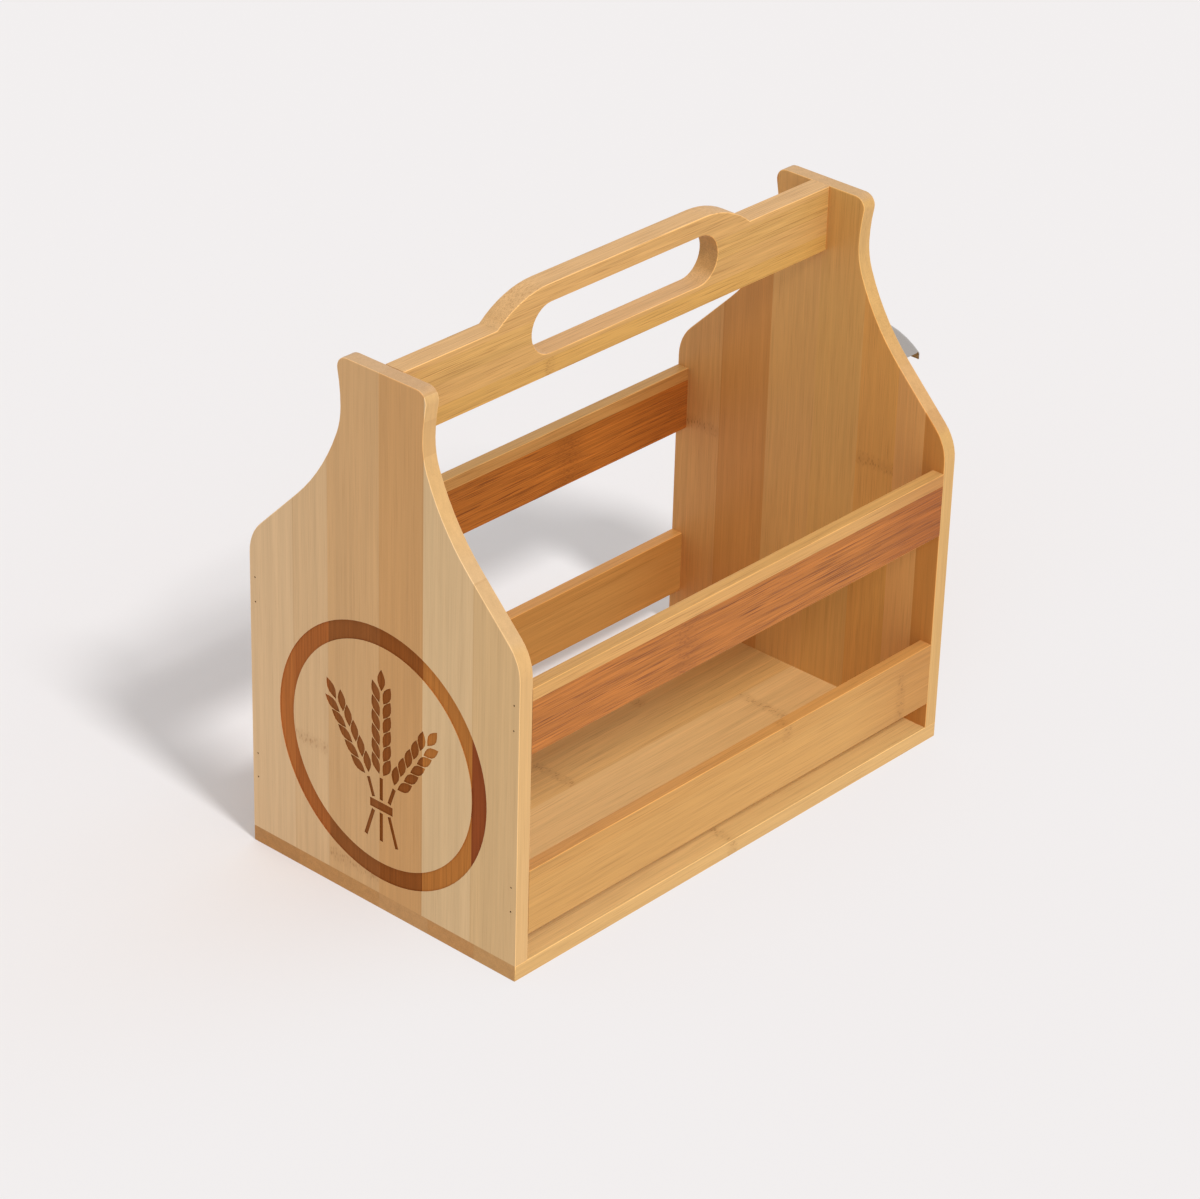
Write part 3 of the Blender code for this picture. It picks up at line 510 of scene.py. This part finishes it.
LOWER_TOP_STRIP = 7 * MM
LOWER_KNUCKLE_STEP = 74 * MM
for side, knuckle in (("front", 104 * MM), ("back", -60 * MM)):
    node = side + "_lower_slat"
    low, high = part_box(node)
    lower_strips = [
        (low.z, "#CE9A56", knuckle, 0.7),
        (high.z - LOWER_TOP_STRIP, "#CB9652", knuckle - LOWER_KNUCKLE_STEP, 0.9),
    ]
    # Its tint towards one end is painted shade, where the light falls off
    lower_bamboo = pressed_bamboo(
        "golden_bamboo_" + side, node, "X", "Z", lower_strips,
        dark="#8A5828", sides="#CE9350", ends="#B88A55", far_shade="#EFE3D4",
    )
    dressed(side + "_lower_bamboo", node, lower_bamboo, closed="X")

# Upper slats
# Two more rails, of steamed bamboo: pressure steam turns it reddish brown. A paler
# strip runs along the top of each.

UPPER_TOP_STRIP = 5.5 * MM
for side, knuckle in (("front", -36 * MM), ("back", 48 * MM)):
    node = side + "_upper_slat"
    low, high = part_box(node)
    upper_strips = [
        (low.z, "#B76F2D", knuckle, 2.6),
        (high.z - UPPER_TOP_STRIP, "#D29E5C", OFF_BOARD, 0.9),
    ]
    # Its tint towards one end is painted shade, where the light falls off
    upper_bamboo = pressed_bamboo(
        "steamed_bamboo_" + side, node, "X", "Z", upper_strips,
        dark="#78401C", sides="#D3A15F", ends="#B88A55", knot=2.6, far_shade="#E9DACB",
    )
    dressed(side + "_upper_bamboo", node, upper_bamboo, closed="X")

# Handle board
# A 10 mm board of golden pressed bamboo, routed with a low hump and a finger slot,
# sanded round along its edges, and dowelled between the two end panels.

handle_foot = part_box("handle_board")[0].z
handle_strips = [
    (handle_foot, "#D2A055", -44 * MM, 1.3),
    (handle_foot + 7.5 * MM, "#D2A15F", OFF_BOARD, 1.1),
    (handle_foot + 17 * MM, "#D1A15C", 46 * MM, 1.4),
    (handle_foot + 26 * MM, "#D4A362", OFF_BOARD, 1.2),
]
handle_bamboo = pressed_bamboo(
    "golden_bamboo_handle", "handle_board", "X", "Z", handle_strips,
    dark="#8A5828", sides="#DAAC74", ends="#B88A55",
)
dressed("handle_bamboo", "handle_board", handle_bamboo, closed="X")

# Handle dowels
# Four short turned beech pegs with chamfered ends, glued into blind holes in the
# handle board and the end panels. Beech is pale and dull, with short fine flecks.

FLECK_WIDTH = 1.2 * MM
FLECK_LENGTH = 4.8 * MM
beech, tree, shader = bare_surface("turned_beech")
place = add(tree, "ShaderNodeTexCoord").outputs["Object"]
flecks = add(tree, "ShaderNodeMapping", {
    "Vector": place, "Scale": (1 / FLECK_LENGTH, 1 / FLECK_WIDTH, 1 / FLECK_WIDTH),
})
fleck = add(tree, "ShaderNodeTexNoise", {
    "Vector": flecks.outputs["Vector"], "Scale": 1, "Detail": 3,
}).outputs["Fac"]
tint = add(tree, "ShaderNodeMix", {
    "Factor": fleck, MIX_FIRST: linear("#C9A47C"), MIX_SECOND: linear("#DDBF9C"),
}, data_type="RGBA").outputs[MIX_RESULT]
tree.links.new(tint, shader.inputs["Base Color"])
shader.inputs["Roughness"].default_value = 0.6
bump = add(tree, "ShaderNodeBump", {"Height": fleck, "Distance": SURFACE_RELIEF})
tree.links.new(bump.outputs["Normal"], shader.inputs["Normal"])
for node in [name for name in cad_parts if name.startswith("handle_dowel")]:
    dressed(node + "_peg", node, beech)

# Bottle opener
# A wall opener pressed and welded from 2 mm stainless sheet: back plate, hood, lip and
# catch in one. Its satin belt finish blurs what it reflects along fine level lines.

# A belt's scratches are about 0.02 mm apart, too fine to show, and are drawn at 0.12 mm
BELT_LINE = 0.12 * MM
BELT_LENGTH = 9 * MM
BELT_RELIEF = 0.01 * MM
satin_steel, tree, shader = bare_surface("satin_stainless")
place = add(tree, "ShaderNodeTexCoord").outputs["Object"]
lines = add(tree, "ShaderNodeMapping", {
    "Vector": place, "Scale": (1 / BELT_LINE, 1 / BELT_LENGTH, 1 / BELT_LINE),
})
line = add(tree, "ShaderNodeTexNoise", {
    "Vector": lines.outputs["Vector"], "Scale": 1, "Detail": 2,
}).outputs["Fac"]
shader.inputs["Base Color"].default_value = linear("#B2AEA9")
shader.inputs["Metallic"].default_value = 1
shine = add(tree, "ShaderNodeMapRange", {"Value": line, "To Min": 0.2, "To Max": 0.38})
tree.links.new(shine.outputs["Result"], shader.inputs["Roughness"])
bump = add(tree, "ShaderNodeBump", {
    "Height": line, "Strength": 0.15, "Distance": BELT_RELIEF,
})
tree.links.new(bump.outputs["Normal"], shader.inputs["Normal"])
dressed("opener_steel", "bottle_opener", satin_steel)

# Screws
# Two dome-headed stainless screws hold the opener, and six countersunk ones, driven
# up through the base board, hold the end panels. All have cross recesses.

for node in [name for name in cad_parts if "_screw_" in name]:
    dressed(node + "_steel", node, satin_steel)

# Pin nails
# Headless 0.8 mm wire pins, two at each end of each slat, punched just below the
# panels' faces. Their drawn wire has gone dull and dark.

SCALE_SIZE = 0.3 * MM
SCALE_RELIEF = 0.02 * MM
pin_steel, tree, shader = bare_surface("drawn_wire")
place = add(tree, "ShaderNodeTexCoord").outputs["Object"]
scale = add(tree, "ShaderNodeTexNoise", {
    "Vector": place, "Scale": 1 / SCALE_SIZE,
}).outputs["Fac"]
dull = add(tree, "ShaderNodeMix", {
    "Factor": scale, MIX_FIRST: linear("#241E19"), MIX_SECOND: linear("#3A312A"),
}, data_type="RGBA").outputs[MIX_RESULT]
tree.links.new(dull, shader.inputs["Base Color"])
shader.inputs["Metallic"].default_value = 1
shader.inputs["Roughness"].default_value = 0.5
bump = add(tree, "ShaderNodeBump", {"Height": scale, "Distance": SCALE_RELIEF})
tree.links.new(bump.outputs["Normal"], shader.inputs["Normal"])
for node in [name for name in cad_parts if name.startswith("nail_")]:
    dressed(node + "_pin", node, pin_steel)

# Floor
# A wide sheet of pale matt paper. In front of the crate it gives off its own light in
# place of what it would catch, so that it stays even there and keeps the shadow behind.

PAPER = linear("#F2EFEF")
FLOOR_REACH = 6000 * MM
FILL_START = 75 * MM
FILL_END = -75 * MM
FILL_MOST = 0.8
floor_mesh = bmesh.new()
bmesh.ops.create_grid(floor_mesh, x_segments=1, y_segments=1, size=FLOOR_REACH)
floor_data = bpy.data.meshes.new("floor")
floor_mesh.to_mesh(floor_data)
floor_mesh.free()
floor = bpy.data.objects.new("floor", floor_data)
bpy.context.scene.collection.objects.link(floor)
paper, tree, shader = bare_surface("pale_paper")
shader.inputs["Roughness"].default_value = 0.9
shader.inputs["Specular IOR Level"].default_value = 0
shader.inputs["Emission Color"].default_value = PAPER
place = add(tree, "ShaderNodeTexCoord").outputs["Object"]
parts = add(tree, "ShaderNodeSeparateXYZ", {"Vector": place}).outputs
filled = add(tree, "ShaderNodeMapRange", {
    "Value": parts["Y"], "From Min": FILL_START, "From Max": FILL_END, "To Max": FILL_MOST,
}, interpolation_type="SMOOTHSTEP").outputs["Result"]
dimmed = add(tree, "ShaderNodeMix", {
    "Factor": filled, MIX_FIRST: PAPER, MIX_SECOND: (0, 0, 0, 1),
}, data_type="RGBA").outputs[MIX_RESULT]
tree.links.new(filled, shader.inputs["Emission Strength"])
tree.links.new(dimmed, shader.inputs["Base Color"])
floor_data.materials.append(paper)

# Light
# One large soft key from the front, high and a little to the left, and a plain white
# sky that the camera and the steel see as paper.

KEY_STRENGTH = 1.52
KEY_SOFTNESS = math.radians(9)
KEY_HEIGHT = math.radians(47)
KEY_TURN = math.radians(-11)
SKY_LEVEL = 0.65
key = bpy.data.lights.new("key", "SUN")
key.energy = KEY_STRENGTH
key.angle = KEY_SOFTNESS
lamp = bpy.data.objects.new("key", key)
bpy.context.scene.collection.objects.link(lamp)
level = math.cos(KEY_HEIGHT)
towards = Vector((math.sin(KEY_TURN) * level, -math.cos(KEY_TURN) * level, math.sin(KEY_HEIGHT)))
lamp.rotation_euler = towards.to_track_quat("Z", "Y").to_euler()

world = bpy.data.worlds.new("studio")
bpy.context.scene.world = world
world.use_nodes = True
tree = world.node_tree
tree.nodes.clear()
paths = add(tree, "ShaderNodeLightPath").outputs
seen = add(tree, "ShaderNodeMath", {0: paths["Is Camera Ray"], 1: paths["Is Glossy Ray"]},
           operation="MAXIMUM").outputs[0]
seen = add(tree, "ShaderNodeMath", {0: seen, 1: paths["Is Transmission Ray"]},
           operation="MAXIMUM").outputs[0]
sky = add(tree, "ShaderNodeBackground", {"Color": (1, 1, 1, 1), "Strength": SKY_LEVEL})
backdrop = add(tree, "ShaderNodeBackground", {"Color": PAPER, "Strength": 1})
either = add(tree, "ShaderNodeMixShader", {
    "Fac": seen, 1: sky.outputs[0], 2: backdrop.outputs[0],
})
add(tree, "ShaderNodeOutputWorld", {"Surface": either.outputs[0]})

# Camera
# A long lens that looks down on the marked end from the front left, tilted a little,
# with the crate off the lens's axis.

CAMERA_LENS = 123.62
CAMERA_TURN = math.radians(48.303)
CAMERA_DIP = math.radians(29.119)
CAMERA_ROLL = math.radians(1.651)
CAMERA_DISTANCE = 1.6542
CAMERA_ACROSS = -0.004435
CAMERA_UP = -0.035779
AIM = Vector((0, 0, 0.13))
camera_data = bpy.data.cameras.new("camera")
camera_data.lens = CAMERA_LENS
camera_data.sensor_width = 36
camera = bpy.data.objects.new("camera", camera_data)
bpy.context.scene.collection.objects.link(camera)
turned = Euler((math.pi / 2 - CAMERA_DIP, 0, -CAMERA_TURN)).to_matrix()
turned = turned @ Matrix.Rotation(CAMERA_ROLL, 3, "Z")
camera.rotation_euler = turned.to_euler()
camera.location = AIM + turned @ Vector((CAMERA_ACROSS, CAMERA_UP, CAMERA_DISTANCE))
bpy.context.scene.camera = camera
bpy.context.scene.view_settings.view_transform = "Standard"
